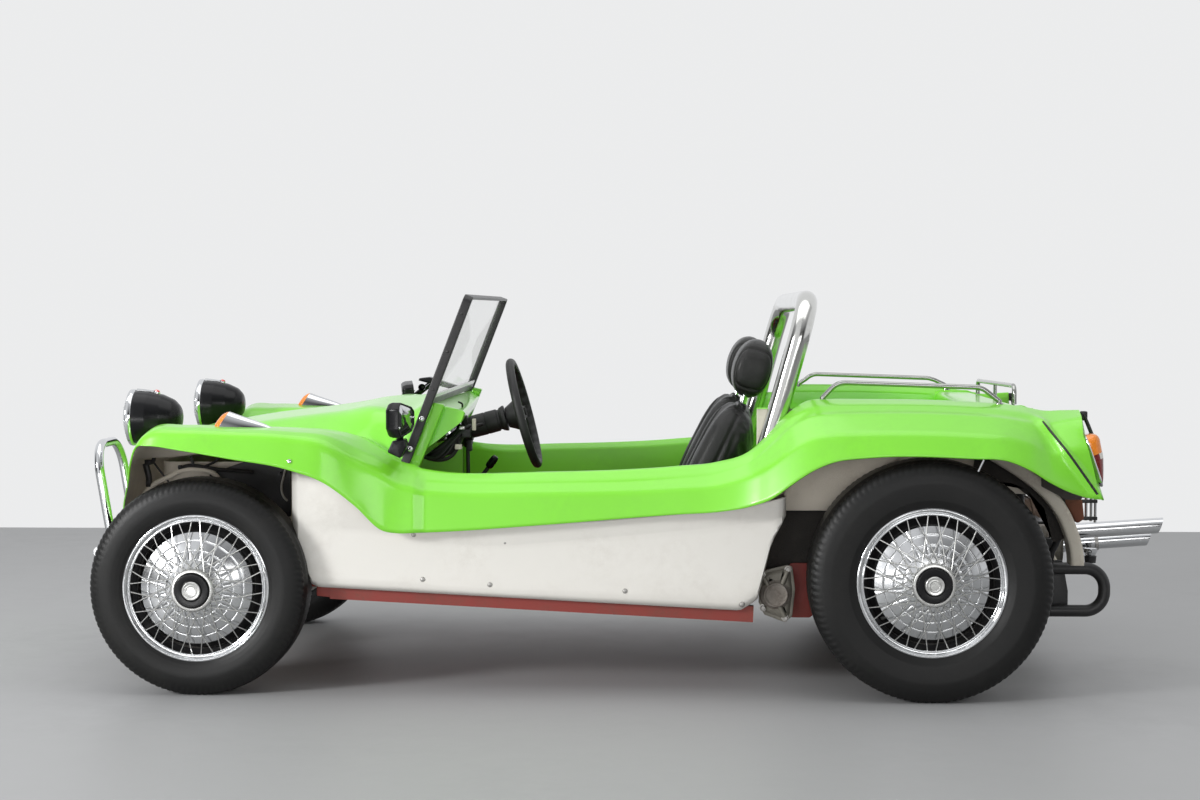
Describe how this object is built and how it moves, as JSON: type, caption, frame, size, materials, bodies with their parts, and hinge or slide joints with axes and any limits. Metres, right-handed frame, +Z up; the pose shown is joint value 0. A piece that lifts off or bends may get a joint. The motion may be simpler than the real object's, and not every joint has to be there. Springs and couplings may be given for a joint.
{
  "type": "dune buggy",
  "caption": "Open two-seat dune buggy with a plastic body, steered front wheels, rear engine, roll hoop, windscreen and turning road wheels.",
  "frame": {"origin": "on the ground, in the middle of the length and of the width", "axes": "+X forward, +Y to the left, +Z up"},
  "size_m": [3.1827, 1.66, 1.1349],
  "materials": {
    "body_green": "gloss",
    "panel_white": "satin",
    "pan_red": "satin",
    "frame_black": "satin",
    "chrome": "mirror",
    "steel": "satin",
    "alloy": "cast",
    "tyre": "matte",
    "seat_black": "satin",
    "trim_black": "satin",
    "glass": "clear",
    "amber": "gloss",
    "red_lens": "gloss"
  },
  "bodies": {
    "chassis": {"body_side_left": "body_green", "body_side_right": "body_green", "bonnet": "body_green", "bumper_hoops": "chrome", "dampers": "frame_black", "dashboard": "body_green", "deck_rails": "chrome", "engine": "alloy", "exhaust": "chrome", "floorpan": "pan_red", "front_axle_beam": "frame_black", "front_bumper": "chrome", "front_indicators": "chrome", "front_suspension_arms": "frame_black", "front_tub": "body_green", "front_wing_left": "body_green", "front_wing_right": "body_green", "gearbox": "alloy", "hand_levers": "trim_black", "headlamp_lenses": "glass", "headlamps": "frame_black", "headrests": "seat_black", "mirrors": "trim_black", "nose_panel": "body_green", "pedals": "frame_black", "rear_arch_liners": "panel_white", "rear_axle_tubes": "frame_black", "rear_bumper": "frame_black", "rear_frame": "pan_red", "rear_spring_plates": "steel", "rear_tub": "body_green", "rear_wing_left": "body_green", "rear_wing_right": "body_green", "roll_bar": "chrome", "seat_left": "seat_black", "seat_right": "seat_black", "side_panel_left": "panel_white", "side_panel_right": "panel_white", "steering_box": "frame_black", "steering_column": "trim_black", "tail_lamps": "red_lens", "windscreen_frame": "frame_black", "windscreen_glass": "glass"},
    "knuckle_left": {"front_knuckle_left": "steel"},
    "knuckle_right": {"front_knuckle_right": "steel"},
    "wheel_front_left": {"front_left_tyre": "tyre", "front_left_wheel": "chrome"},
    "wheel_front_right": {"front_right_tyre": "tyre", "front_right_wheel": "chrome"},
    "wheel_rear_left": {"rear_left_tyre": "tyre", "rear_left_wheel": "chrome"},
    "wheel_rear_right": {"rear_right_tyre": "tyre", "rear_right_wheel": "chrome"},
    "steering_wheel": {"steering_wheel": "trim_black"},
    "pitman": {"pitman_arm": "steel"},
    "track_rod_left": {"tie_rod_left": "steel"},
    "track_rod_right": {"tie_rod_right": "steel"}
  },
  "joints": [
    {"name": "steer_left", "type": "hinge", "parent": "chassis", "child": "knuckle_left", "pos_m": [1.195, 0.58, 0.303], "axis": [0, 0, 1], "range_deg": [-30, 30]},
    {"name": "steer_right", "type": "hinge", "parent": "chassis", "child": "knuckle_right", "pos_m": [1.195, -0.58, 0.303], "axis": [0, 0, 1], "range_deg": [-30, 30]},
    {"name": "front_left_wheel_turn", "type": "hinge", "parent": "knuckle_left", "child": "wheel_front_left", "pos_m": [1.195, 0.645, 0.303], "axis": [0, 1, 0], "continuous": true},
    {"name": "front_right_wheel_turn", "type": "hinge", "parent": "knuckle_right", "child": "wheel_front_right", "pos_m": [1.195, -0.645, 0.303], "axis": [0, 1, 0], "continuous": true},
    {"name": "rear_left_wheel_turn", "type": "hinge", "parent": "chassis", "child": "wheel_rear_left", "pos_m": [-0.85, 0.678, 0.333], "axis": [0, 1, 0], "continuous": true},
    {"name": "rear_right_wheel_turn", "type": "hinge", "parent": "chassis", "child": "wheel_rear_right", "pos_m": [-0.85, -0.678, 0.333], "axis": [0, 1, 0], "continuous": true},
    {"name": "steering_wheel_turn", "type": "hinge", "parent": "chassis", "child": "steering_wheel", "pos_m": [0.302, 0.33, 0.776], "axis": [-0.9659, 0, 0.2588], "range_deg": [-420, 420]},
    {"name": "pitman_turn", "type": "hinge", "parent": "chassis", "child": "pitman", "pos_m": [1.195, 0.06, 0.348], "axis": [0, 0, 1], "range_deg": [-30, 30]},
    {"name": "track_rod_left_turn", "type": "hinge", "parent": "knuckle_left", "child": "track_rod_left", "pos_m": [1.1, 0.58, 0.368], "axis": [0, 0, 1], "range_deg": [-30, 30]},
    {"name": "track_rod_right_turn", "type": "hinge", "parent": "knuckle_right", "child": "track_rod_right", "pos_m": [1.1, -0.58, 0.328], "axis": [0, 0, 1], "range_deg": [-30, 30]}
  ],
  "couplings": [
    {"joint": "steer_right", "follows": "steer_left", "ratio": 1},
    {"joint": "steering_wheel_turn", "follows": "steer_left", "ratio": 14},
    {"joint": "pitman_turn", "follows": "steer_left", "ratio": 1},
    {"joint": "track_rod_left_turn", "follows": "steer_left", "ratio": -1},
    {"joint": "track_rod_right_turn", "follows": "steer_left", "ratio": -1}
  ]
}
